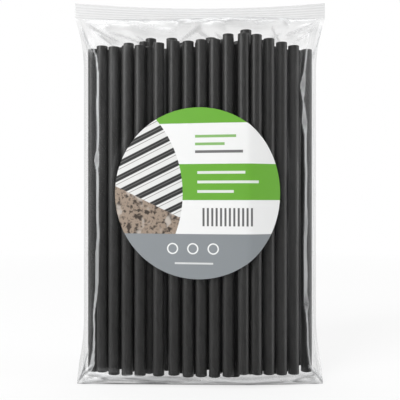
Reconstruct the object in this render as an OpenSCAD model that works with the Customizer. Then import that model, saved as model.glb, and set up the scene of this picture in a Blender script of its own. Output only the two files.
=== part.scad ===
// A pillow pack of clear film around a bundle of paper drinking straws, with a round label on its front.
// Millimetres, +Z up, front towards -Y, origin in the middle of the underside. The pack stands on its foot.

/* [Straws] */
// Length of a straw
straw_len = 150; // [140:1:200]
// Outside diameter of a straw
straw_d = 5.1; // [4.6:0.1:6]
// Thickness of the wound paper wall
straw_wall = 0.4; // [0.3:0.05:0.6]

/* [Bundle] */
// Straws side by side in the front layer
front_count = 18; // [14:1:20]
// Gap between neighbours in the front and back layers
side_gap = 0.75; // [0.5:0.05:0.95]
// Gap between straws that nest in the core
nest_gap = 0.1; // [0.05:0.05:0.3]
// How far the front layer steps forward beside the outermost straws
front_shoulder = 3; // [2.5:0.25:4]
// How far the front layer rises from there to its peak
front_bulge = 12.2; // [9:0.2:14]
// Distance from the middle to that peak
front_peak_x = 21; // [10:1:24]
// How far the back layer bulges backward of the side creases
back_bulge = 20; // [16:0.5:24]
// Height of the lowest straws above the folded film
bundle_lift = 2.4; // [2:0.2:4]
// How unevenly the front straws stand
uneven = 3.2; // [1:0.2:4]
// How unevenly the straws behind them stand
inner_uneven = 7; // [4:0.5:8]

/* [Film] */
// Thickness of the film
film_wall = 0.1; // [0.06:0.01:0.15]
// Slack between the film and the outer straws
film_slack = 0.35; // [0.3:0.05:0.6]
// Width of the flat crease beyond the outermost straws
side_crease = 2; // [1.4:0.1:2.6]
// Thickness of the folded film under the straws
floor_t = 0.4; // [0.3:0.05:0.8]
// Height over which the foot rounds into the walls
foot_round = 5; // [4:0.5:8]
// How far the foot's edges stand in from the walls
foot_inset = 7.8; // [6:0.2:9]
// Free height between the highest straw and the end seal
head_room = 7.8; // [6:0.2:12]

/* [Seals] */
// Height of the crimped band along the top
seal_h = 7.2; // [4:0.2:10]
// How far each end of the band stands out beyond the side creases
seal_flare = 4.2; // [2:0.2:6]
// How far the middle of the band sags
seal_sag = 2.5; // [0:0.25:4]
// Distance between the crimp ridges
crimp_pitch = 1.2; // [1:0.1:2]
// Depth of the crimp ridges
crimp_depth = 0.15; // [0.05:0.05:0.3]
// Width of the lapped seam down the back
lap_w = 10; // [6:0.5:14]

/* [Label] */
// Diameter of the round label
label_d = 75.5; // [50:0.5:78]
// Thickness of the label paper
label_t = 0.12; // [0.08:0.01:0.2]
// Thickness of the glue line under the label
glue_t = 0.03; // [0.02:0.01:0.06]
// Distance from the end seal down to the label
label_drop = 44.2; // [35:0.2:55]
// Distance from the middle to the middle of the label
label_x = -1.2; // [-8:0.2:8]

/* [Hidden] */
straw_r = straw_d / 2;
side_pitch = straw_d + side_gap;
nest_pitch = straw_d + nest_gap;
row_pitch = nest_pitch * sin(60);
core_y = 1;
golden = 0.618034;
rise_start = 53;
rise_power = 4;
tube_facets = 48;

// The front straws from left to right: how far each foot stands above the lowest one
front_stands = [0.1, 0.8, 0, 0.1, 0.1, 0.3, 0.7, 1.3, 0.9, 1.3, 1.3, 1.8, 3.2, 3, 2, 1.1, 0.4, 0, 0.3, 0.1];
// How far each stands aside from an even row, in pitches
front_shifts = [
    0, -0.23, -0.25, -0.19, -0.17, -0.48, -0.7, -0.5, -0.41, -0.4,
    -0.39, -0.36, -0.22, -0.24, -0.22, -0.19, -0.17, 0, 0, 0
];
// How far each stands back from the curve of the layer, in straw diameters
front_sinks = [0, 0, 0, 0, 0.1, 0.93, 0.06, 0.1, 0.1, 0.1, 0.1, 0.1, 0, 0, 0.1, 0.1, 0.1, 0, 0, 0];

// Seen from above, each layer lies on a curve of its own, and the film runs parallel to it
bundle_half = (front_count - 1) / 2 * side_pitch;
film_cover = straw_r + film_slack + film_wall;
film_half = bundle_half + straw_r + side_crease;
film_front = front_shoulder + front_bulge + film_cover;
film_back = back_bulge + film_cover;
front_power = 1.2;
shoulder_power = 8;
shoulder_bluntness = 2;
back_power = 2.2;
back_bluntness = 2;
foot_power = 6;
foot_bluntness = 3;
foot_front = film_front - foot_inset;
foot_back = film_back - foot_inset;

// The walls flare out to the seal, and bulge a little above the corners of the foot
floor_z = floor_t + nest_gap;
tallest = floor_z + straw_len + max(foot_round, bundle_lift + max(uneven, inner_uneven));
seal_z = tallest + head_room;
flare_h = 25;
hip_out = 1.3;
hip_z = 8;
hip_h = 22;
ear_out = 0.8;
ear_h = 25;
ear_share = 0.1;

// The band takes this share of the sag at its lower edge
low_sag = 0.6;
// The film gathers below the band
gather_h = 22;
gather_depth = 0.7;
gather_count = 6;

// The lapped seam is a second thickness of film, a little left of the middle of the back
lap_x = -9;
lap_edge = 0.06;
film_thick = film_wall;

// The creases are not half way between the front and the back, so all moves by this to centre the pack
middle_y = (film_back + film_thick - film_front) / 2;

// The edge of the folded end seal and the two gusset folds are pressed lines in the underside
fold_w = 0.4;
fold_depth = 0.12;
gusset_x = 34;
gusset_l = 26;
gusset_angle = 45;

side_steps = 40;
foot_steps = 5;
roof_steps = 7;
roof_end = 88;

// 1 in the middle and 0 at both ends, where u runs from -1 to 1
function bulge(u, power, bluntness) = pow(max(0, 1 - pow(min(1, abs(u)), power)), 1 / bluntness);
// The distance from an off-centre peak, as a share of the way to the nearer end
function skewed(u, peak) = u < peak ? (peak - u) / (1 + peak) : (u - peak) / (1 - peak);
function foot_share(u) = bulge(u, foot_power, foot_bluntness);
function mix(a, b, share) = a + (b - a) * share;
function part_of(a, b, value) = max(0, min(1, (value - a) / (b - a)));

// How far a layer lies from the creases, where side is -1 for the front and 1 for the back
function layer_depth(x, side) =
    side < 0
        ? front_shoulder * bulge(x / bundle_half, shoulder_power, shoulder_bluntness)
            + front_bulge * bulge(skewed(x / bundle_half, front_peak_x / bundle_half), front_power, 1)
        : back_bulge * bulge(x / bundle_half, back_power, back_bluntness);

// Straw places, with the side creases at y = 0
function across(k, count) = (k - (count - 1) / 2) * side_pitch;
front_layer = [
    for (k = [0:front_count - 1])
        let (x = across(k + front_shifts[k], front_count)) [x, front_sinks[k] * straw_d - layer_depth(x, -1)]
];
back_layer = [
    for (k = [0:front_count - 2])
        let (x = across(k, front_count - 1)) [x, layer_depth(x, 1)]
];
outer_layers = concat(front_layer, back_layer);
core_reach = ceil(bundle_half / nest_pitch);
core_span = ceil((film_front + back_bulge) / row_pitch);

function inside(p) =
    abs(p[0]) < bundle_half
    && p[1] > -layer_depth(p[0], -1)
    && p[1] < layer_depth(p[0], 1)
    && min([for (q = outer_layers) norm(p - q)]) >= nest_pitch;
function core_row(r) = [
    for (i = [-core_reach:core_reach])
        let (p = [(i + (r % 2 == 0 ? 0 : 0.5)) * nest_pitch, core_y + r * row_pitch])
            if (inside(p)) p
];
core_rows = [
    for (r = [-core_span:core_span])
        let (row = core_row(r))
            if (len(row) > 0) row
];

// The height at which the rounded foot is deep enough for a straw of an outer layer
function foot_depth(x, side) =
    side < 0 ? foot_front : (foot_front + foot_back) * foot_share(x / film_half) - foot_front;
function outer_rest(p) =
    let (
        side = p[1] < 0 ? -1 : 1,
        wall = layer_depth(p[0], side) + film_cover,
        foot = foot_depth(p[0], side),
        need = abs(p[1]) + film_cover - film_wall
    )
        floor_z + (need <= foot ? 0 : foot_round * (1 - cos(asin((need - foot) / (wall - foot)))));
// How far an inner straw stands above the foot: most stand low and a few high
function inner_rise(i) =
    let (step = (i + rise_start) * golden)
        bundle_lift + inner_uneven * pow(step - floor(step), rise_power);

// Outline of the film at mid height: points at these shares of the way round from the left crease, on each wall
lap_xs = [for (side = [-1, 1]) each [lap_x + side * lap_w / 2, lap_x + side * (lap_w / 2 + lap_edge)]];
lap_ts = [for (i = [1, 0, 2, 3]) acos(-lap_xs[i] / bundle_half) / 180];
even_ts = [for (i = [0:side_steps]) i / side_steps];
ts = concat([
    for (i = [0:side_steps - 1])
        each concat([even_ts[i]], [for (t = lap_ts) if (t > even_ts[i] && t < even_ts[i + 1]) t])
], [1]);
last_t = len(ts) - 1;
function lapped(t) = t >= lap_ts[1] && t <= lap_ts[2] ? 1 : 0;

slope_step = 0.05;
function wall_point(t, side, inset) =
    let (
        x = -bundle_half * cos(180 * t),
        rise = layer_depth(x + slope_step, side) - layer_depth(x - slope_step, side),
        along = norm([2 * slope_step, rise]),
        cover = film_cover - inset
    )
        t == 0 || t == 1
            ? [(2 * t - 1) * (film_half - 2 * inset), 0]
            : [x - cover * rise / along, layer_depth(x, side) + cover * 2 * slope_step / along];

function half_at(z) =
    film_half
    + hip_out * pow(1 - part_of(hip_z, hip_z + hip_h, z), 2)
    + seal_flare * pow(part_of(seal_z - flare_h, seal_z, z), 2);
function crease_at(z) = foot_front * pow(1 - part_of(0, ear_h, z), 2);
function gather_at(u, z) =
    gather_depth * pow(sin(180 * part_of(seal_z - gather_h, seal_z, z)), 2)
    * (1 - cos(180 * gather_count * (u + 1))) / 2 * foot_share(u);

// A level is [height, how far the foot has grown into the walls, how far the roof has closed in, crimp, sag].
// The inset is 0 on the outside of the film and its thickness on the inside.
function film_point(t, side, level, inset) =
    let (
        p = wall_point(t, side, inset),
        u = p[0] / film_half,
        crease = crease_at(level[0]),
        depth = p[1] + gather_at(u, level[0]),
        wall = side < 0
            ? mix(depth, film_front, crease / film_front)
            : depth - crease * pow(1 - part_of(0, ear_share, min(t, 1 - t)), 2),
        corner = inset > 0 ? (floor_t - inset) * (1 - level[1]) : 0,
        skin = inset > 0 || t == 0 || t == 1 ? 0 : film_wall,
        lap = inset > 0 || side < 0 ? 0 : film_thick * lapped(t) * level[1],
        x = u * (mix(film_half + ear_out, half_at(level[0]), level[1]) - 2 * corner),
        foot = foot_depth(p[0], side) - inset - corner,
        y = mix(foot, wall, level[1]) * level[2] + skin * (1 - level[2]) + lap
    )
        [x, side * y + level[3] - middle_y, level[0] - seal_sag * level[4] * (1 - u * u)];
function film_ring(level, inset) = concat(
    [for (i = [0:last_t]) film_point(ts[i], -1, level, inset)],
    [for (i = [last_t - 1:-1:1]) film_point(ts[i], 1, level, inset)]
);

wall_heights = [12, 17, 23, 30, seal_z - flare_h, seal_z - 0.7 * flare_h, seal_z - 0.5 * flare_h];
crimps = 2 * round(seal_h / crimp_pitch);
foot_heights = [for (i = [0:foot_steps]) foot_round * (1 - cos(90 * i / foot_steps))];
function foot_levels(inset) =
    let (bottom = inset > 0 ? floor_t : 0)
        [
            for (z = concat([bottom], [for (z = foot_heights) if (z > bottom + film_wall) z]))
                [z, sqrt(1 - pow(1 - z / foot_round, 2)), 1, 0, 0]
        ];
function roof_levels(inset) =
    [
        for (i = [0:roof_steps])
            let (a = (inset > 0 ? roof_end : 90) * i / roof_steps)
                [tallest + (head_room - inset) * sin(a), 1, cos(a), 0, low_sag * sin(a)]
    ];
wall_levels = [for (z = wall_heights) [z, 1, 1, 0, 0]];
band_levels = [
    for (i = [1:crimps])
        [
            seal_z + seal_h * i / crimps,
            1,
            0,
            i == crimps ? 0 : crimp_depth * (i % 2 == 0 ? -1 : 1),
            mix(low_sag, 1, i / crimps)
        ]
];

// A closed skin through rings of equal length, capped by a strip across each end
module skin(rings) {
    n = len(rings[0]);
    top = (len(rings) - 1) * n;
    polyhedron(
        points = [for (ring = rings) each ring],
        faces = concat(
            [
                for (r = [0:len(rings) - 2], i = [0:n - 1])
                    let (j = (i + 1) % n, a = r * n)
                        each [[a + i, a + n + i, a + j], [a + j, a + n + i, a + n + j]]
            ],
            [for (i = [1:last_t - 1]) each cap(0, i, n)],
            [for (i = [1:last_t - 1]) each [for (f = cap(top, i, n)) [f[2], f[1], f[0]]]]
        )
    );
}
// The front point i and the back point across from it are i and n - i
function cap(start, i, n) =
    i == last_t - 1
        ? [[start + i, start + i + 1, start + n - i]]
        : concat(
            i == 1 ? [[start, start + 1, start + n - 1]] : [],
            [[start + i, start + i + 1, start + n - i], [start + i + 1, start + n - i - 1, start + n - i]]
        );

module film_bag() {
    color([0.9, 0.93, 0.95, 0.35])
        difference() {
            skin([for (level = concat(foot_levels(0), wall_levels, roof_levels(0), band_levels))
                film_ring(level, 0)]);
            skin([for (level = concat(foot_levels(film_wall), wall_levels, roof_levels(film_wall)))
                film_ring(level, film_wall)]);
            foot_folds();
        }
}

module foot_folds() {
    translate([-film_half, -foot_front - middle_y + seal_h, -fold_depth])
        cube([2 * film_half, fold_w, 2 * fold_depth]);
    for (side = [-1, 1])
        translate([side * gusset_x, 0, 0])
            rotate([0, 0, 90 - side * gusset_angle])
                translate([0, -fold_w / 2, -fold_depth])
                    cube([gusset_l, fold_w, 2 * fold_depth]);
}

module round_label() {
    reach = label_d / 2 + side_pitch;
    wall = [
        for (t = ts)
            let (p = wall_point(t, -1, 0))
                if (abs(p[0] - label_x) < reach) [p[0], -p[1] - middle_y - glue_t]
    ];
    middle_z = seal_z - label_drop - label_d / 2;
    color([0.93, 0.94, 0.92])
        intersection() {
            linear_extrude(height = seal_z)
                polygon(concat(wall, [for (i = [len(wall) - 1:-1:0]) wall[i] - [0, label_t]]));
            translate([label_x, 0, middle_z])
                rotate([90, 0, 0])
                    cylinder(h = film_front + film_back, d = label_d, $fn = 96);
        }
}

module straw(place, rest) {
    color([0.17, 0.17, 0.18])
        translate([place[0], place[1] - middle_y, rest])
            difference() {
                cylinder(h = straw_len, d = straw_d, $fn = tube_facets);
                translate([0, 0, -straw_wall])
                    cylinder(h = straw_len + 2 * straw_wall, d = straw_d - 2 * straw_wall, $fn = tube_facets);
            }
}

module front_straw(k) {
    straw(
        front_layer[k],
        max(outer_rest(front_layer[k]), floor_z + bundle_lift + uneven * front_stands[k] / max(front_stands))
    );
}

module back_straw(k) {
    straw(back_layer[k], max(outer_rest(back_layer[k]), floor_z + inner_rise(k)));
}

module core_straws(r) {
    for (i = [0:len(core_rows[r]) - 1])
        straw(core_rows[r][i], floor_z + inner_rise(i + r * front_count));
}

function numbered(name, k) = str(name, k < 9 ? "0" : "", k + 1);

film_bag();
round_label();
for (k = [0:front_count - 1])
    front_straw(k);
for (k = [0:front_count - 2])
    back_straw(k);
for (r = [0:len(core_rows) - 1])
    core_straws(r);
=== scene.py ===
import math

import bmesh
import bpy
import numpy as np
from mathutils import Matrix


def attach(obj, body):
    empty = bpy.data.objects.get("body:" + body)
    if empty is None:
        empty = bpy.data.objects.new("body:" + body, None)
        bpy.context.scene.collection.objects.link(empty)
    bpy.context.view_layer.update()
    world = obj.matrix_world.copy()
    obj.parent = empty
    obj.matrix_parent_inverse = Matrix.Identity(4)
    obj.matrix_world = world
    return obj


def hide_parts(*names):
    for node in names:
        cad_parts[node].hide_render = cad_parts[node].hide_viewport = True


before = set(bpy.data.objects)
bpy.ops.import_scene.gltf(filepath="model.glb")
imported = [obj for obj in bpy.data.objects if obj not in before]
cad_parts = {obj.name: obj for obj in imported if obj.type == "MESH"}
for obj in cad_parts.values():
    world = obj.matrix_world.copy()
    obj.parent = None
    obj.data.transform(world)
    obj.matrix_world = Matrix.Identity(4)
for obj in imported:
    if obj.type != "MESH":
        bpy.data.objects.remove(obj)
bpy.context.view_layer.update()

# A clear film pillow pack of black paper drinking straws with a round label, on a white studio floor.
# Sizes are in millimetres up to the moment a mesh is finished. The front faces -Y.
MM = 0.001

# Straws
STRAW_R = 2.55
STRAW_WALL = 0.4
STRAW_LEN = 150.0
STRAW_LIP, BORE_END = 0.09, 6
SIDE_PITCH = 5.85
NEST_PITCH = 5.2
SPIRAL_PITCH = 22
OUTER_SIDES, OUTER_ROWS = 32, 8
CORE_SIDES, CORE_ROWS = 20, 4
SQUEEZE = 0.012

# The bundle seen from above: each layer lies on a curve of its own, and the film runs parallel to it
BUNDLE_HALF = 49.725
FILM_COVER = 3.0
FILM_HALF = 54.275
FILM_THICK = 0.1
FRONT_SHOULDER, SHOULDER_POWER = 3.0, 8
FRONT_BULGE, FRONT_POWER = 12.2, 1.2
FRONT_PEAK = 21.0 / BUNDLE_HALF
BACK_BULGE, BACK_POWER = 20.0, 2.2
FILM_FRONT = FRONT_SHOULDER + FRONT_BULGE + FILM_COVER
FILM_BACK = BACK_BULGE + FILM_COVER
# The creases are not half way between the front and the back, so all moves by this to centre the pack
MIDDLE_Y = (FILM_BACK + FILM_THICK - FILM_FRONT) / 2

# The foot, and how the walls bulge a little above its corners
FOOT_INSET = 7.8
FOOT_FRONT = FILM_FRONT - FOOT_INSET
FOOT_BACK = FILM_BACK - FOOT_INSET
FOOT_ROUND = 5.0
FOOT_POWER, FOOT_BLUNTNESS = 6, 3
HIP_OUT, HIP_Z, HIP_H = 1.3, 8, 22
EAR_OUT, EAR_H, EAR_SHARE = 0.8, 25, 0.1

# The roof, the film that gathers below the seal, and the crimped seal
TALLEST = 159.9
HEAD_ROOM = 7.8
GATHER_H, GATHER_DEPTH, GATHER_COUNT = 22, 0.7, 6
SEAL_Z = TALLEST + HEAD_ROOM
SEAL_H = 7.2
SEAL_SAG, LOW_SAG = 2.5, 0.6
SEAL_FLARE, FLARE_H = 4.2, 25.0
CRIMP_PITCH, CRIMP_DEPTH = 1.2, 0.15

# The lapped seam down the back, and the label
LAP_X, LAP_W, LAP_FOOT, LAP_HEAD_GAP = -9.0, 10.0, 6.0, 0.1
LAP_LIFT, LAP_FREE = 0.12, 0.25
LAP_COLUMNS, LAP_ROWS = 10, 90
LABEL_X, LABEL_Z, LABEL_R = -1.2, 85.75, 38.0
LABEL_T, LABEL_GLUE = 0.12, 0.04
LABEL_SIDES, LABEL_STEP = 160, 1.2

# The film's mesh: columns across each side, of which these lie beside each crease, up to this share of the side
COLUMNS = 180
CREASE_COLUMNS, CREASE_END = 8, 0.025
# Its rows: under the foot, round the foot's edge, low and high up the walls, over the roof and up the seal
FOOT_ROWS, EDGE_ROWS, LOW_ROWS, HIGH_ROWS, ROOF_ROWS, SEAL_ROWS = 8, 15, 23, 142, 15, 24
LOW_WALL_TOP = 18

# Where the film's sagging and waving fade out, in height, towards the label and towards the side creases
LOW_FADE, HIGH_FADE, LABEL_FADE, SIDE_FADE = (4, 12), (152, 159), 5, (50.2, 52.4)
SAG_DEPTH = 0.09
BUNDLE_EDGE = (38, 45)
MOST_PUSH_IN, LEAST_PUSH_AT_EDGE = -0.3, 0.04

# The label's fields, from its middle: a band, a cap, a foot and an arc
BAND_Z, CAP_Z, SLATE_Z = (-3.0, 13.0), 31.0, -18.0
ARC_X, ARC_R = -58.0, 51.5
BAR_H = 1.2

# The studio
FLOOR_HALF, FLOOR_DROP = 4000, 0.05
PACK_MIDDLE_Z = 0.08
CAMERA_Y, CAMERA_Z = -0.2753, 0.0828
CAMERA_LENS, CAMERA_SENSOR = 52.97, 36


def part_of(low, high, value):
    """How far a value is on its way from low to high, from 0 to 1."""
    return np.clip((value - low) / (high - low), 0, 1)


def mix(a, b, share):
    return a + (b - a) * share


def smooth(share):
    return share * share * (3 - 2 * share)


# ---------------------------------------------------------------- the outline of the film

def bulge(u, power, bluntness):
    return np.maximum(0, 1 - np.minimum(1, np.abs(u)) ** power) ** (1 / bluntness)


def layer_depth(x, side):
    """How far a layer of straws lies from the side creases."""
    u = x / BUNDLE_HALF
    if side > 0:
        return BACK_BULGE * bulge(u, BACK_POWER, 2)
    skewed = np.where(u < FRONT_PEAK, (FRONT_PEAK - u) / (1 + FRONT_PEAK), (u - FRONT_PEAK) / (1 - FRONT_PEAK))
    return FRONT_SHOULDER * bulge(u, SHOULDER_POWER, 2) + FRONT_BULGE * bulge(skewed, FRONT_POWER, 1)


def foot_share(u):
    return bulge(u, FOOT_POWER, FOOT_BLUNTNESS)


def wall_curve(t, side, out=0.0):
    """The film's outer face seen from above, from the left crease at t = 0 to the right one at t = 1."""
    step = 0.05
    inner = np.clip(t, CREASE_END, 1 - CREASE_END)
    x = -BUNDLE_HALF * np.cos(math.pi * inner)
    rise = layer_depth(x + step, side) - layer_depth(x - step, side)
    along = np.hypot(2 * step, rise)
    cover = FILM_COVER + out
    # From the side crease to the first straw the film runs straight
    share = np.minimum(1, np.minimum(t, 1 - t) / CREASE_END)
    return (
        mix(np.sign(t - 0.5) * FILM_HALF, x - cover * rise / along, share),
        mix(0, layer_depth(x, side) + cover * 2 * step / along, share),
    )


def half_at(z):
    """How far the film's edges stand from the middle at a height."""
    hips = HIP_OUT * (1 - part_of(HIP_Z, HIP_Z + HIP_H, z)) ** 2
    return FILM_HALF + hips + SEAL_FLARE * part_of(SEAL_Z - FLARE_H, SEAL_Z, z) ** 2


def film_point(t, side, z, grown, open_, crimp, sag):
    """A point of the film, as in the pack's source.

    A D-shaped foot grows into the walls, and above them a roof closes to the seal.
    """
    px, py = wall_curve(t, side)
    u = px / FILM_HALF
    crease = FOOT_FRONT * (1 - part_of(0, EAR_H, z)) ** 2
    gather = GATHER_DEPTH * np.sin(math.pi * part_of(SEAL_Z - GATHER_H, SEAL_Z, z)) ** 2
    gather = gather * (1 - np.cos(GATHER_COUNT * math.pi * (u + 1))) / 2 * foot_share(u)
    depth = py + gather
    edge = np.minimum(t, 1 - t)
    wall = np.where(
        side < 0,
        mix(depth, FILM_FRONT, crease / FILM_FRONT),
        depth - crease * (1 - part_of(0, EAR_SHARE, edge)) ** 2,
    )
    foot = np.where(side < 0, FOOT_FRONT, (FOOT_FRONT + FOOT_BACK) * foot_share(u) - FOOT_FRONT)
    skin = np.where((edge < 1e-9) | (z < 1e-9), 0, FILM_THICK)
    x = u * mix(FILM_HALF + EAR_OUT, half_at(z), grown)
    y = mix(foot, wall, grown) * open_ + skin * (1 - open_)
    return x, side * y + crimp - MIDDLE_Y, z - SEAL_SAG * sag * (1 - u * u)


# ---------------------------------------------------------------- mesh helpers

def finish_mesh(bm, name, sharp=None):
    """Millimetres to metres, smooth shading with hard folds, and an object at the origin."""
    for face in bm.faces:
        face.smooth = True
    if sharp is not None:
        for edge in bm.edges:
            if len(edge.link_faces) == 2 and edge.calc_face_angle(0) > math.radians(sharp):
                edge.smooth = False
    bmesh.ops.scale(bm, vec=(MM, MM, MM), verts=bm.verts)
    mesh = bpy.data.meshes.new(name)
    bm.to_mesh(mesh)
    bm.free()
    piece = bpy.data.objects.new(name, mesh)
    bpy.context.scene.collection.objects.link(piece)
    return piece


def dress(piece, material, nodes):
    """Give a piece its material in a slot and its body, and hide the CAD nodes that it stands in for."""
    piece.data.materials.append(material)
    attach(piece, "root")
    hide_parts(*nodes)


# ---------------------------------------------------------------- materials

class Socket:
    """One output of a material's nodes. Arithmetic on it adds Math nodes."""

    def __init__(self, finish, socket):
        self.finish = finish
        self.socket = socket

    def math(self, operation, *others, clamp=False):
        settings = {"operation": operation, "use_clamp": clamp}
        return self.finish.add("ShaderNodeMath", settings, dict(enumerate((self,) + others)))[0]

    def __add__(self, other):
        return self.math("ADD", other)

    def __sub__(self, other):
        return self.math("SUBTRACT", other)

    def __rsub__(self, other):
        return self.finish.add("ShaderNodeMath", {"operation": "SUBTRACT"}, {0: other, 1: self})[0]

    def __mul__(self, other):
        return self.math("MULTIPLY", other)

    def __pow__(self, other):
        return self.math("POWER", other)

    __radd__ = __add__
    __rmul__ = __mul__

    def above(self, edge, soft=0.1):
        """0 below the edge and 1 above it, with a soft step."""
        return ((self - edge) * (1 / soft) + 0.5).math("ADD", 0, clamp=True)

    def below(self, edge, soft=0.1):
        return 1 - self.above(edge, soft)

    def between(self, low, high, soft=0.1):
        return self.above(low, soft) * self.below(high, soft)


class Outputs:
    """A node whose outputs are reached by number or name."""

    def __init__(self, finish, node):
        self.finish = finish
        self.node = node

    def __getitem__(self, key):
        return Socket(self.finish, self.node.outputs[key])


class Finish:
    """The nodes of a material or a world, and the one method that adds a node to them."""

    def __init__(self, owner):
        self.owner = owner
        owner.use_nodes = True
        self.tree = owner.node_tree
        self.tree.nodes.clear()

    def add(self, kind, settings=None, inputs=None):
        node = self.tree.nodes.new(kind)
        for key, value in (settings or {}).items():
            setattr(node, key, value)
        for key, value in (inputs or {}).items():
            if isinstance(value, Socket):
                self.tree.links.new(value.socket, node.inputs[key])
            else:
                node.inputs[key].default_value = value
        return Outputs(self, node)

    def where(self):
        """Object coordinates in metres, as a vector."""
        return self.add("ShaderNodeTexCoord")["Object"]

    def axes(self, where):
        """The x, y and z of a vector, from metres to millimetres."""
        parts = self.add("ShaderNodeSeparateXYZ", None, {0: where})
        return parts[0] * 1000, parts[1] * 1000, parts[2] * 1000

    def noise(self, where, scale, detail, stretch=None):
        if stretch is not None:
            where = self.add("ShaderNodeMapping", None, {"Vector": where, "Scale": stretch})[0]
        return self.add("ShaderNodeTexNoise", None, {"Vector": where, "Scale": scale, "Detail": detail})[0]

    def blend(self, share, under, over):
        return self.add("ShaderNodeMix", {"data_type": "RGBA"}, {0: share, 6: under, 7: over})[2]

    def close(self, shader, output="ShaderNodeOutputMaterial"):
        self.add(output, None, {"Surface": shader})
        return self.owner


def new_finish(name):
    return Finish(bpy.data.materials.new(name))


def rgb(red, green, blue):
    return (red, green, blue, 1.0)


def film_finish(name, tint, base, rim):
    """Clear film that tints what is behind it, with a base gloss and one that grows towards its rims.

    One attribute of a mesh paints highlights: it whitens the film along folds and creases, and whitens the seal with
    painted highlights along its ridges. Another paints shade: it darkens the film below folds, in streaks low in
    front and in a painted contact shadow at the edge on the floor, and it greys the slack strips.
    """
    finish = new_finish(name)
    glint_and_seal_white = finish.add("ShaderNodeAttribute", {"attribute_name": "glint_and_seal_white"})["Fac"]
    shade_and_grey = finish.add("ShaderNodeAttribute", {"attribute_name": "shade_and_grey"})["Fac"]
    facing = finish.add("ShaderNodeLayerWeight", None, {"Blend": 0.5})["Facing"]
    # Where highlight is painted, the film's body turns rougher and less metal, so it shows white. Where shade is
    # painted, its colour turns dark.
    soft = glint_and_seal_white.math("MINIMUM", 1)
    body = finish.add(
        "ShaderNodeBsdfPrincipled",
        None,
        {
            "Base Color": finish.blend(shade_and_grey, rgb(0.9, 0.91, 0.92), rgb(0.03, 0.03, 0.032)),
            "Metallic": 0.9 - soft * 0.7,
            "Roughness": 0.28 + soft * 0.2,
        },
    )[0]
    clear = finish.add("ShaderNodeBsdfTransparent", None, {"Color": rgb(tint, tint, tint)})[0]
    share = (base + rim * facing ** 2.4 + glint_and_seal_white * 0.2 + shade_and_grey * 0.55).math("MINIMUM", 0.9)
    return finish.close(finish.add("ShaderNodeMixShader", None, {0: share, 1: clear, 2: body})[0])


def paper_finish():
    """Black paper wound in a spiral: the seam runs round the straw by the piece's own UV map."""
    finish = new_finish("black_spiral_paper")
    where = finish.where()
    uv = finish.add("ShaderNodeUVMap", {"uv_map": "UVMap"})[0]
    parts = finish.add("ShaderNodeSeparateXYZ", None, {0: uv})
    wound = (parts[0] + parts[1]).math("FRACT")
    seam = wound.below(0.018, 0.012)
    rim = finish.add("ShaderNodeAttribute", {"attribute_name": "rim"})["Fac"]
    blotch = finish.noise(where, 260, 3)
    grain = finish.noise(where, 2600, 4)
    fibre = finish.noise(where, 900, 4, (1, 1, 0.25))
    tone = (blotch - 0.5) * 0.35 + (grain - 0.5) * 1.0 + (fibre - 0.5) * 0.5 + 0.5
    colour = finish.blend(
        tone.math("ADD", 0, clamp=True), rgb(0.019, 0.019, 0.019), rgb(0.060, 0.0593, 0.058)
    )
    colour = finish.blend(seam * 0.75, colour, rgb(0.008, 0.008, 0.008))
    # The straws' ends are lightened: a painted highlight on their rims
    colour = finish.blend(rim * 0.85, colour, rgb(0.085, 0.083, 0.08))
    bump = finish.add(
        "ShaderNodeBump",
        None,
        {"Strength": 0.2, "Distance": 0.0001, "Height": wound * 0.6 + grain * 0.12 + fibre * 0.4},
    )[0]
    body = finish.add(
        "ShaderNodeBsdfPrincipled",
        None,
        {
            "Base Color": colour,
            "Roughness": 0.36 + grain * 0.1,
            "Normal": bump,
        },
    )[0]
    return finish.close(body)


GREEN = rgb(0.152, 0.44, 0.036)
DARK_GREY = rgb(0.045, 0.045, 0.047)
SLATE = rgb(0.272, 0.295, 0.312)
SOFT_WHITE = rgb(0.90, 0.905, 0.90)


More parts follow.
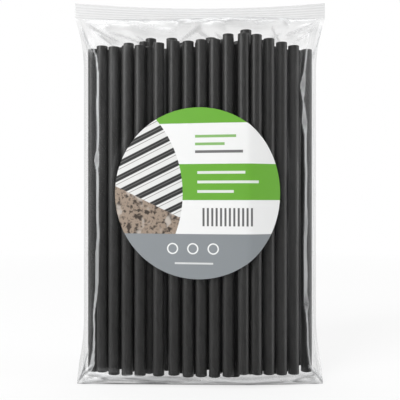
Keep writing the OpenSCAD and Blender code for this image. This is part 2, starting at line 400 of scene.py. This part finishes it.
def label_finish():
    """A plain design of flat fields.

    A barred and a speckled one lie inside an arc, beside a green cap and band, above a slate foot with rings.
    """
    finish = new_finish("printed_label")
    where = finish.where()
    px, _, pz = finish.axes(where)
    x = px - LABEL_X
    z = pz - LABEL_Z
    gravel = finish.noise(where, 420, 5)
    coarse = finish.noise(where, 130, 2)
    colour = finish.blend(z.between(*BAND_Z), SOFT_WHITE, GREEN)
    colour = finish.blend(z.above(CAP_Z), colour, GREEN)

    # Plain bars and a comb of short strokes fill the fields
    for low, left, right, tone in (
        (24.6, -1, 17, GREEN), (21.2, -1, 12, GREEN), (17.8, -1, 20, DARK_GREY),
        (8.6, 0, 21, SOFT_WHITE), (4.4, 0, 27, SOFT_WHITE), (0.2, 0, 16, SOFT_WHITE),
    ):
        colour = finish.blend(z.between(low, low + BAR_H) * x.between(left, right) * 0.85, colour, tone)
    stroke = (x * 0.52).math("FRACT").between(0.2, 0.66, 0.1)
    colour = finish.blend(stroke * z.between(-14.5, -6.5) * x.between(2, 25) * 0.9, colour, DARK_GREY)

    # The field inside the arc: slanting bars above, speckled stock below
    dx = x - ARC_X
    arc = (dx * dx + z * z).math("SQRT").below(ARC_R)
    stones = finish.blend(gravel.between(0.42, 0.62, 0.12), rgb(0.055, 0.038, 0.028), rgb(0.36, 0.28, 0.215))
    stones = finish.blend(coarse.above(0.56, 0.06) * 0.7, stones, rgb(0.60, 0.55, 0.50))
    slant = x * 0.075 - z * 0.155
    bar = slant.math("FRACT")
    rods = finish.blend(bar.between(0.04, 0.46, 0.03), rgb(0.80, 0.80, 0.79), rgb(0.03, 0.03, 0.03))
    rods = finish.blend(bar.between(0.2, 0.26, 0.03) * 0.5, rods, rgb(0.25, 0.245, 0.24))
    rods = finish.blend(bar.between(0.62, 0.66, 0.03), rods, rgb(0.2, 0.195, 0.19))
    field = finish.blend((z + x * 0.48).above(-14.5, 0.3), stones, rods)
    colour = finish.blend(arc, colour, field)

    colour = finish.blend(z.below(SLATE_Z), colour, SLATE)
    for middle in (-11.0, -2.0, 7.0):
        dx, dz = x - middle, z + 24.5
        colour = finish.blend((dx * dx + dz * dz).math("SQRT").between(1.9, 2.5), colour, SOFT_WHITE)
    colour = finish.blend(z.between(-31.4, -30.6) * x.between(-10, 7) * 0.7, colour, SOFT_WHITE)

    fibre = finish.noise(where, 1800, 4)
    bump = finish.add("ShaderNodeBump", None, {"Strength": 0.15, "Distance": 0.00005, "Height": fibre})[0]
    body = finish.add(
        "ShaderNodeBsdfPrincipled",
        None,
        {"Base Color": colour, "Roughness": 0.46 + fibre * 0.08, "Normal": bump},
    )[0]
    return finish.close(body)


# ---------------------------------------------------------------- folds in the film

def fold(x, z, line, width, height, bend, mark=0.7):
    """A fold along a line, fading out at its ends: how far it lifts the film, and how strong its crest's mark is."""
    (x0, z0), (x1, z1) = line
    length = math.hypot(x1 - x0, z1 - z0)
    along = ((x - x0) * (x1 - x0) + (z - z0) * (z1 - z0)) / length ** 2
    off = ((x - x0) * (z1 - z0) - (z - z0) * (x1 - x0)) / length + bend * 4 * along * (1 - along)
    fade = smooth(np.clip(np.minimum(along, 1 - along) * 5, 0, 1))
    lift = height * fade * smooth(np.clip(1 - np.abs(off) / width, 0, 1))
    return lift, fade * np.clip(1 - np.abs(off) / mark, 0, 1)


# Each fold runs from one point to another, with a width, a height and a bend
HEAD_FOLDS = [
    (((-56, 165.5), (-47.5, 149)), 2.4, 1.0, -1.2),
    (((-55, 166.5), (-37, 154)), 2.2, 0.9, 0.8),
    (((-54, 167), (-39, 161)), 1.8, 0.8, -0.6),
    (((-47, 164.5), (-20, 157)), 3.0, 1.1, 1.5),
    (((-34, 165), (-8, 157.5)), 3.2, 1.2, -1.4),
    (((-12, 161), (2, 166)), 2.0, 0.9, 1.0),
    (((-2, 165.5), (13, 158.5)), 2.6, 1.0, 0.9),
    (((6, 165.5), (27, 160)), 2.6, 0.9, -1.0),
    (((22, 159.5), (41, 165)), 2.4, 1.0, -0.8),
    (((34, 166.5), (40, 160)), 1.6, 0.9, 0.6),
    (((57, 166.5), (37, 156)), 2.8, 1.1, 0.8),
    (((57, 166), (52, 149)), 2.2, 0.9, 0.9),
    (((55, 167), (41, 163.5)), 1.5, 0.7, 0.3),
]
FOOT_FOLDS = [
    (((-56.5, 0.4), (-48, 8.5)), 1.5, 0.9, 0.3),
    (((-55, 1), (-51, 16)), 1.4, 0.6, -0.4),
    (((-55, 0.8), (-40, 3.9)), 1.2, 0.6, -0.3),
    (((-52, 5.0), (-40, 3.6)), 0.9, 0.5, 0.2),
    (((-46, 3.5), (-12, 2.2)), 1.0, 0.5, 0.4),
    (((-36, 4.6), (-4, 3.5)), 0.9, 0.5, -0.3),
    (((-30, 1.4), (6, 1.9)), 0.8, 0.4, -0.3),
    (((-10, 2.2), (26, 3.0)), 1.0, 0.5, 0.4),
    (((2, 4.4), (40, 3.4)), 0.9, 0.5, -0.3),
    (((16, 1.5), (48, 1.8)), 0.8, 0.4, 0.3),
    (((53, 5.0), (41, 3.8)), 0.9, 0.5, -0.2),
    (((55, 0.8), (40, 3.9)), 1.2, 0.6, 0.3),
    (((56.5, 0.4), (48, 8.5)), 1.5, 0.9, -0.3),
]

# The buckled film beside the bundle: height, distance from the middle, width and strength along it, by side
SIDE_FOLDS = {
    -1: [
        (4, 50.5, 1.3, 0.5), (8, 48.6, 1.6, 0.8), (14, 48.3, 0.8, 0.8), (20, 48.4, 0.7, 1.0),
        (30, 48.3, 0.7, 1.1), (38, 47.5, 1.0, 0.9), (45, 47.1, 1.1, 0.8), (56, 46.9, 1.3, 0.8),
        (66, 46.6, 1.0, 0.8), (84, 46.8, 0.9, 0.8), (97, 47.0, 0.9, 0.9), (101, 47.2, 1.9, 0.9),
        (106, 46.8, 0.8, 0.8), (118, 46.7, 0.9, 0.8), (128, 46.7, 0.8, 1.0), (140, 46.6, 0.6, 1.1),
        (148, 47.2, 0.6, 0.9), (154, 48.8, 0.6, 0.7), (163, 52.5, 0.5, 0.2),
    ],
    1: [
        (4, 50.4, 0.7, 0.5), (12, 49.4, 0.7, 0.6), (24, 48.9, 0.6, 1.0), (31, 48.6, 0.8, 0.8),
        (35, 48.8, 2.0, 0.5), (41, 48.1, 1.2, 0.8), (48, 48.1, 1.4, 1.0), (62, 48.0, 1.1, 0.8),
        (73, 48.2, 1.4, 0.7), (84, 48.2, 0.8, 1.0), (100, 48.2, 0.9, 0.9), (112, 48.2, 0.8, 1.1),
        (118, 47.6, 2.0, 0.8), (125, 47.3, 1.0, 0.9), (128, 47.0, 0.5, 1.0), (135, 46.8, 2.0, 0.8),
        (142, 47.6, 0.7, 0.7), (152, 49.0, 0.7, 0.8), (159, 50.5, 0.5, 0.2),
    ],
}


def side_folds(x, z, out_side):
    """The slack film beside the bundle buckles into a long crease: how far it lifts, and how much painted highlight
    it gets.
    """
    heights, places, widths, strengths = np.array(SIDE_FOLDS[out_side]).T
    place = np.interp(z, heights, places) + 0.12 * np.sin(z / 3.7 + out_side)
    off = x * out_side - place
    broad = part_of(0.6, 2.0, np.interp(z, heights, widths))
    width = mix(0.3, 1.35, broad)
    ends = part_of(1, 5, z) * (1 - part_of(158, 164, z))
    strength = np.interp(z, heights, strengths) * ends * mix(1.4, 0.75, broad)
    lift = (0.2 + 0.15 * strength) * ends * smooth(np.clip(1.3 - np.abs(off) / (width + 2), 0, 1))
    # Both edges of the crease get more painted highlight than its face
    soft_edge = 0.3
    left_edge = np.clip(1 - np.abs(off + 0.9 * width) / soft_edge, 0, 1)
    right_edge = np.clip(1 - np.abs(off - 0.9 * width) / soft_edge, 0, 1)
    face = smooth(np.clip((width - np.abs(off)) / soft_edge + 0.5, 0, 1))
    return lift, strength * (0.85 * face + 0.5 * (left_edge + 0.6 * right_edge) * broad)


# ---------------------------------------------------------------- the film bag

def film_rows():
    """Height, growth of the foot into the walls, opening of the roof, crimp and sag of each row of the mesh."""
    rows = [(0.0, 0.0, share, 0.0, 0.0) for share in np.linspace(0, 1, FOOT_ROWS, endpoint=False)]
    for angle in np.linspace(0, math.pi / 2, EDGE_ROWS):
        z = FOOT_ROUND * (1 - math.cos(angle))
        rows.append((z, math.sqrt(max(0, 1 - (1 - z / FOOT_ROUND) ** 2)), 1.0, 0.0, 0.0))
    low_wall = np.linspace(FOOT_ROUND, LOW_WALL_TOP, LOW_ROWS)[1:]
    high_wall = np.linspace(LOW_WALL_TOP, TALLEST, HIGH_ROWS)[1:]
    for z in np.concatenate([low_wall, high_wall]):
        rows.append((z, 1.0, 1.0, 0.0, 0.0))
    for angle in np.linspace(0, math.pi / 2, ROOF_ROWS)[1:]:
        rows.append((TALLEST + HEAD_ROOM * math.sin(angle), 1.0, math.cos(angle), 0.0, LOW_SAG * math.sin(angle)))
    for i in range(1, SEAL_ROWS + 1):
        share = i / SEAL_ROWS
        ridge = 0.0 if i == SEAL_ROWS else CRIMP_DEPTH * math.sin(2 * math.pi * share * SEAL_H / CRIMP_PITCH)
        rows.append((SEAL_Z + SEAL_H * share, 1.0, 0.0, ridge, mix(LOW_SAG, 1, share)))
    return np.array(rows)


def film_grid():
    """A grid of columns round the pack and rows up it, closed at one crease and under the foot."""
    rows = film_rows()
    across, up = 2 * COLUMNS, len(rows) - 1
    bm = bmesh.new()
    bmesh.ops.create_grid(bm, x_segments=across, y_segments=up, size=0.5)
    co = np.array([v.co for v in bm.verts])
    column = np.rint((co[:, 0] + 0.5) * across)
    row = np.rint((co[:, 1] + 0.5) * up).astype(int)
    front = column <= COLUMNS
    t = np.interp(
        np.where(front, column, across - column),
        [0, CREASE_COLUMNS, COLUMNS - CREASE_COLUMNS, COLUMNS],
        [0, CREASE_END, 1 - CREASE_END, 1],
    )
    z, grown, open_, crimp, sag = rows[row].T
    before = film_point(t, -1, z, grown, open_, crimp, sag)
    behind = film_point(t, 1, z, grown, open_, crimp, sag)
    for v, place in zip(bm.verts, np.where(front, before, behind).T):
        v.co = place
    bmesh.ops.remove_doubles(bm, verts=bm.verts, dist=0.0005)
    bmesh.ops.recalc_face_normals(bm, faces=bm.faces)
    bm.normal_update()
    return bm


def film_push(x, z, is_front, reach):
    """How far the film stands out from its plain form: it sags between the straws, waves slowly and folds."""
    walls = smooth(part_of(*LOW_FADE, z)) * (1 - smooth(part_of(*HIGH_FADE, z)))
    label_gap = np.hypot(x - LABEL_X, z - LABEL_Z) - LABEL_R
    bare = np.where(is_front, smooth(np.clip(label_gap / LABEL_FADE, 0, 1)), 1)
    phase = np.where(is_front, x / SIDE_PITCH, x / SIDE_PITCH + 0.5)
    sag = SAG_DEPTH * (1 + np.cos(2 * math.pi * phase)) * (1 - part_of(42, 48, np.abs(x)))
    slow = 0.10 * np.sin(x / 7.3 + z / 31 + 0.4) + 0.09 * np.sin(x / 11 - z / 19 + 1.9)
    slow += 0.05 * np.sin(z / 7.7 + x / 15)
    push = (slow - sag) * walls * bare
    for line, width, high, bend in HEAD_FOLDS:
        push += np.where(is_front, 1, 0.6) * fold(x, z, line, width, high, bend)[0]
    for line, width, high, bend in FOOT_FOLDS:
        push += np.where(is_front, 0.5, 0.3) * fold(x, z, line, width, high, bend)[0]
    for out_side in (-1, 1):
        push += side_folds(x, z, out_side)[0]
    # It stays clear of the straws, and smooth beside the bundle, below the seal and where it meets the floor
    push = np.maximum(push, mix(MOST_PUSH_IN, LEAST_PUSH_AT_EDGE, part_of(*BUNDLE_EDGE, np.abs(x))))
    push *= 1 - smooth(part_of(SEAL_Z - 7, SEAL_Z - 2.2, z))
    return push * part_of(0.0, 1.0, z) * (1 - part_of(*SIDE_FADE, reach))


def film_glint_and_seal_white(x, z, is_front, reach, band, ridges):
    """Painted highlights along the film's folds and creases, and the seal's whitening with painted highlights along
    its ridges.
    """
    glint_and_seal_white = np.zeros(len(x))
    for line, width, high, bend in HEAD_FOLDS:
        glint_and_seal_white += 0.7 * smooth(fold(x, z, line, width, high, bend, 0.5 * width)[1])
        glint_and_seal_white += 1.3 * smooth(fold(x, z, line, width, high, bend, 0.55)[1])
    for line, width, high, bend in FOOT_FOLDS:
        glint_and_seal_white += np.where(is_front, 2.6, 0.5) * fold(x, z, line, width, high, bend)[1]
    for out_side in (-1, 1):
        glint_and_seal_white += np.where(is_front, 2.5 + 0.15 * out_side, 0.2) * side_folds(x, z, out_side)[1]
    # A painted highlight runs down each side crease
    edge = 52.7 + 0.35 * np.sin(z / 6.3 + np.sign(x))
    crease = np.clip(1 - np.abs(reach - edge) / 0.5, 0, 1) * (1 - part_of(150, 156, z))
    glint_and_seal_white += np.where(is_front, 1.1, 0.3) * crease
    # The seal is whitened, with painted highlights along its crimped ridges
    glint_and_seal_white += band * (0.3 + 0.4 * smooth(0.5 + 0.5 * np.sin(2 * math.pi * ridges)))
    return np.clip(glint_and_seal_white, 0, 2.4)


def film_shade_and_grey(x, z, is_front, reach, band):
    """Painted shade: how much the film darkens just below its folds and in streaks low in front, with a painted
    contact shadow where it meets the floor; and how much the slack strips grey.
    """
    shade_and_grey = np.zeros(len(x))
    # Painted shade falls just below each fold
    for line, width, high, bend in HEAD_FOLDS:
        shade_and_grey += 0.2 * smooth(fold(x, z + 0.9 * width, line, width, high, bend, 0.8 * width)[1])
    for line, width, high, bend in FOOT_FOLDS:
        shade_and_grey += np.where(is_front, 0.85, 0.1) * fold(x, z + 1.1, line, width, high, bend)[1]
    streaks = smooth(0.5 + 0.5 * np.sin(2.4 * z + 1.5 * np.sin(x / 8.3) + x / 12 + 0.6))
    low = part_of(0.2, 1, z) * (1 - part_of(5, 8, z)) * (1 - part_of(46, 54, np.abs(x)))
    shade_and_grey += np.where(is_front, 0.42, 0) * streaks * low
    slack = smooth(part_of(52.6, 53.4, reach)) * (1 - smooth(part_of(150, 162, z)))
    # A painted contact shadow: a dark line low on the film where it meets the floor
    painted_contact_shadow = np.where(is_front, 1.35, 0.3) * (1 - part_of(0.7, 1.7, z)) * (z > 0)
    painted_contact_shadow *= 1 - part_of(38, 53, np.abs(x))
    return np.maximum(np.maximum(0.15 * slack, painted_contact_shadow), np.minimum(shade_and_grey, 0.8)) + 0.02 * band


def make_film():
    """The film bag, with its folds, and how much painted highlight and painted shade each point of it gets."""
    bm = film_grid()
    co = np.array([v.co for v in bm.verts])
    normal = np.array([v.normal for v in bm.verts])
    x, y, z = co.T
    is_front = y < -MIDDLE_Y
    reach = np.abs(x) * FILM_HALF / half_at(z)
    # The seal sags in the middle, and its ridges follow it
    slope = SEAL_SAG * (1 - (x / half_at(z)) ** 2)
    level = z - SEAL_Z + slope * LOW_SAG
    ridges = level / (SEAL_H - slope * (1 - LOW_SAG)) * SEAL_H / CRIMP_PITCH
    band = part_of(-0.5, 0.3, level)
    push = film_push(x, z, is_front, reach)
    glint_and_seal_white = film_glint_and_seal_white(x, z, is_front, reach, band, ridges)
    shade_and_grey = film_shade_and_grey(x, z, is_front, reach, band)
    layers = bm.verts.layers.float
    layers.new("glint_and_seal_white")
    layers.new("shade_and_grey")
    for v, place, white, grey in zip(bm.verts, co + normal * push[:, None], glint_and_seal_white, shade_and_grey):
        v.co = place
        v[layers["glint_and_seal_white"]] = white
        v[layers["shade_and_grey"]] = grey
    return finish_mesh(bm, "film_pillow", sharp=55)


# ---------------------------------------------------------------- the lapped seam down the back

def make_back_seam():
    """A strip of film laid over the back, with one edge free."""
    bm = bmesh.new()
    bmesh.ops.create_grid(bm, x_segments=LAP_COLUMNS, y_segments=LAP_ROWS, size=0.5)
    for v in bm.verts:
        across = v.co.x + 0.5
        level = mix(LAP_FOOT, SEAL_Z + SEAL_H - LAP_HEAD_GAP, v.co.y + 0.5)
        x = LAP_X + (across - 0.5) * LAP_W
        if level < TALLEST:
            open_, sag = 1.0, 0.0
        elif level < SEAL_Z:
            lift = (level - TALLEST) / HEAD_ROOM
            open_, sag = math.sqrt(max(0, 1 - lift ** 2)), LOW_SAG * lift
        else:
            open_, sag = 0.0, mix(LOW_SAG, 1, (level - SEAL_Z) / SEAL_H)
        t = math.acos(-x / BUNDLE_HALF) / math.pi
        px, py, pz = film_point(np.array(t), 1, np.array(level), 1.0, open_, 0.0, sag)
        free = LAP_FREE * across ** 3 * (1 + 0.5 * math.sin(level / 9)) * open_
        v.co = (float(px), float(py) + LAP_LIFT + free, float(pz))
    bmesh.ops.solidify(bm, geom=bm.faces, thickness=FILM_THICK)
    bmesh.ops.recalc_face_normals(bm, faces=bm.faces)
    return finish_mesh(bm, "film_back_seam", sharp=40)


# ---------------------------------------------------------------- the label

def make_label():
    """A paper disc bent round the front of the pack, with its width measured along the film."""
    t = np.linspace(0.02, 0.98, 800)
    px, py = wall_curve(t, -1, LABEL_GLUE)
    along = np.concatenate([[0], np.cumsum(np.hypot(np.diff(px), np.diff(py)))])
    along -= np.interp(LABEL_X, px, along)
    bm = bmesh.new()
    bmesh.ops.create_circle(bm, cap_ends=True, segments=LABEL_SIDES, radius=LABEL_R)
    bmesh.ops.rotate(bm, matrix=Matrix.Rotation(math.pi / 2, 3, "X"), verts=bm.verts)
    for x in np.arange(-LABEL_R + LABEL_STEP, LABEL_R - LABEL_STEP + 0.1, LABEL_STEP):
        every = bm.verts[:] + bm.edges[:] + bm.faces[:]
        bmesh.ops.bisect_plane(bm, geom=every, plane_co=(x, 0, 0), plane_no=(1, 0, 0), dist=0.001)
    for v in bm.verts:
        bent_x, bent_y = np.interp(v.co.x, along, px), np.interp(v.co.x, along, py)
        v.co = (float(bent_x), -float(bent_y) - MIDDLE_Y, v.co.z + LABEL_Z)
    bmesh.ops.recalc_face_normals(bm, faces=bm.faces)
    if sum(face.normal.y for face in bm.faces) > 0:
        bmesh.ops.reverse_faces(bm, faces=bm.faces)
    bmesh.ops.solidify(bm, geom=bm.faces, thickness=-LABEL_T)
    bmesh.ops.recalc_face_normals(bm, faces=bm.faces)
    return finish_mesh(bm, "label_disc", sharp=50)


# ---------------------------------------------------------------- the straws

def straw_form(length, segments, rows):
    """One straw on the Z axis: the profile of its wall, spun round, with a UV map along the spiral."""
    inner = STRAW_R - STRAW_WALL
    outer = [(STRAW_R, z) for z in np.linspace(STRAW_LIP, length - STRAW_LIP, rows)]
    rim = [(STRAW_R - STRAW_LIP, length), (inner + STRAW_LIP, length)]
    bore = [(inner, z) for z in (length - STRAW_LIP, length - BORE_END, BORE_END, STRAW_LIP)]
    foot = [(inner + STRAW_LIP, 0), (STRAW_R - STRAW_LIP, 0)]
    bm = bmesh.new()
    profile = [bm.verts.new((r, 0, z)) for r, z in outer + rim + bore + foot]
    edges = [bm.edges.new((a, b)) for a, b in zip(profile, profile[1:] + profile[:1])]
    bmesh.ops.spin(
        bm, geom=profile + edges, cent=(0, 0, 0), axis=(0, 0, 1), angle=2 * math.pi, steps=segments, use_merge=True
    )
    bmesh.ops.recalc_face_normals(bm, faces=bm.faces)
    uv = bm.loops.layers.uv.new("UVMap")
    # Each straw's ends are marked for their painted rim highlight
    rim_highlight_layer = bm.verts.layers.float.new("rim")
    for v in bm.verts:
        at_end = v.co.z < 0.01 or v.co.z > length - 0.01
        v[rim_highlight_layer] = 1.0 if at_end else 0.0
    for face in bm.faces:
        centre = face.calc_center_median()
        middle = math.atan2(centre.y, centre.x) / (2 * math.pi)
        for loop in face.loops:
            turn = math.atan2(loop.vert.co.y, loop.vert.co.x) / (2 * math.pi)
            turn += round(middle - turn)
            loop[uv].uv = (turn, loop.vert.co.z / SPIRAL_PITCH)
    mesh = bpy.data.meshes.new("straw_form")
    bm.to_mesh(mesh)
    bm.free()
    return mesh


def straw_places(node):
    """Centres and feet of the straws that a CAD node holds."""
    points = np.array([v.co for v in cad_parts[node].data.vertices]) / MM
    low, high = points.min(0), points.max(0)
    y = (low[1] + high[1]) / 2
    count = round((high[0] - low[0] - 2 * STRAW_R) / NEST_PITCH) + 1
    places = []
    for i in range(count):
        x = low[0] + STRAW_R + i * NEST_PITCH
        # The points on this straw's outer skin
        own = points[np.abs(np.hypot(points[:, 0] - x, points[:, 1] - y) - STRAW_R) < 0.03]
        if len(own) > 8:
            places.append((float(x), float(y), float(own[:, 2].min())))
    return places


def make_straws(node, form, order):
    """The straws of a CAD node, each turned and squeezed a little in its own way."""
    bm = bmesh.new()
    for i, (x, y, z) in enumerate(straw_places(node)):
        start = len(bm.verts)
        bm.from_mesh(form)
        bm.verts.ensure_lookup_table()
        new = bm.verts[start:]
        turn = (order * 1.7 + i * 2.3) % (2 * math.pi)
        squeeze = 1 - SQUEEZE * math.sin(order * 3.1 + i)
        bmesh.ops.scale(bm, vec=(squeeze, 1 / squeeze, 1), verts=new)
        bmesh.ops.rotate(bm, cent=(0, 0, 0), matrix=Matrix.Rotation(turn, 3, "Z"), verts=new)
        bmesh.ops.translate(bm, vec=(x, y, z), verts=new)
    return finish_mesh(bm, "paper_" + node, sharp=40)


# ---------------------------------------------------------------- build the pack

film = film_finish("clear_film", tint=0.952, base=0.02, rim=0.42)
lap_film = film_finish("clear_lap_film", tint=0.994, base=0.0, rim=0.08)
dress(make_film(), film, ["film_bag"])
dress(make_back_seam(), lap_film, ["film_bag"])
dress(make_label(), label_finish(), ["round_label"])

paper = paper_finish()
outer_form = straw_form(STRAW_LEN, OUTER_SIDES, OUTER_ROWS)
core_form = straw_form(STRAW_LEN, CORE_SIDES, CORE_ROWS)
for order, node in enumerate(sorted(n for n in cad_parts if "straw" in n)):
    form = core_form if node.startswith("core") else outer_form
    dress(make_straws(node, form, order), paper, [node])


# ---------------------------------------------------------------- floor, backdrop and light

def make_floor():
    """A pale floor that keeps the pack's shadow near it and is plain white far from it."""
    bm = bmesh.new()
    bmesh.ops.create_grid(bm, x_segments=4, y_segments=4, size=FLOOR_HALF)
    bmesh.ops.translate(bm, vec=(0, 0, -FLOOR_DROP), verts=bm.verts)
    floor = finish_mesh(bm, "studio_floor")
    finish = new_finish("white_floor")
    x, y, _ = finish.axes(finish.where())
    path = finish.add("ShaderNodeLightPath")
    seen = (path["Is Camera Ray"] + path["Is Glossy Ray"] + path["Is Transmission Ray"]).math("MINIMUM", 1)
    far = (x * x + y * y).math("SQRT").above(450, 500)
    card = finish.add("ShaderNodeBsdfDiffuse", None, {"Color": rgb(0.88, 0.88, 0.88)})[0]
    glow = finish.add("ShaderNodeEmission", None, {"Color": rgb(1, 1, 1), "Strength": 1.0})[0]
    share = seen * (0.79 + far * 0.21)
    floor_mix = finish.add("ShaderNodeMixShader", None, {0: share, 1: card, 2: glow})[0]
    floor.data.materials.append(finish.close(floor_mix))
    floor.visible_glossy = False


def make_world():
    """A white room. In reflections its camera side is dark, as behind a studio camera, and the rest is white."""
    world = bpy.data.worlds.new("studio")
    bpy.context.scene.world = world
    room = Finish(world)
    path = room.add("ShaderNodeLightPath")
    way = room.add("ShaderNodeSeparateXYZ", None, {0: room.add("ShaderNodeTexCoord")["Generated"]})
    to_camera = way[1] * -1
    open_side = to_camera.below(0.5, 0.5)
    seen = path["Is Camera Ray"].math("MAXIMUM", path["Is Transmission Ray"])
    glossy = path["Is Glossy Ray"]
    strength = 0.3 + seen * 0.7
    strength = strength * (1 - glossy) + glossy * (0.012 + open_side * 0.7)
    sky = room.add("ShaderNodeBackground", None, {"Color": rgb(1, 1, 1), "Strength": strength})[0]
    room.close(sky, "ShaderNodeOutputWorld")


def add_softbox(name, azimuth, elevation, distance, width, height, power):
    """A rectangular light that faces the middle of the pack. Azimuth 0 is the camera's side, and left is negative."""
    a, e = math.radians(azimuth), math.radians(elevation)
    lamp = bpy.data.lights.new(name, "AREA")
    lamp.shape = "RECTANGLE"
    lamp.size = width
    lamp.size_y = height
    lamp.energy = power
    light = bpy.data.objects.new(name, lamp)
    light.matrix_world = (
        Matrix.Translation((0, 0, PACK_MIDDLE_Z))
        @ Matrix.Rotation(a, 4, "Z")
        @ Matrix.Rotation(-e, 4, "X")
        @ Matrix.Translation((0, -distance, 0))
        @ Matrix.Rotation(math.pi / 2, 4, "X")
    )
    light.visible_camera = False
    bpy.context.scene.collection.objects.link(light)


make_floor()
make_world()
for softbox in (
    # name, azimuth, elevation, distance, width, height, power
    ("key_left", -36, 44, 1.3, 0.4, 0.5, 6.2),
    ("strip_left", -54, 18, 1.0, 0.12, 0.45, 3),
    ("strip_right", 80, 4, 1.0, 0.25, 1.6, 4),
    ("overhead", 180, 78, 1.2, 1.2, 0.8, 8),
):
    add_softbox(*softbox)

camera = bpy.data.cameras.new("camera")
camera.lens = CAMERA_LENS
camera.sensor_width = CAMERA_SENSOR
camera.clip_start = 0.01
viewer = bpy.data.objects.new("camera", camera)
viewer.location = (0, CAMERA_Y - MIDDLE_Y * MM, CAMERA_Z)
viewer.rotation_euler = (math.pi / 2, 0, 0)
bpy.context.scene.collection.objects.link(viewer)
bpy.context.scene.camera = viewer
bpy.context.scene.view_settings.view_transform = "Standard"
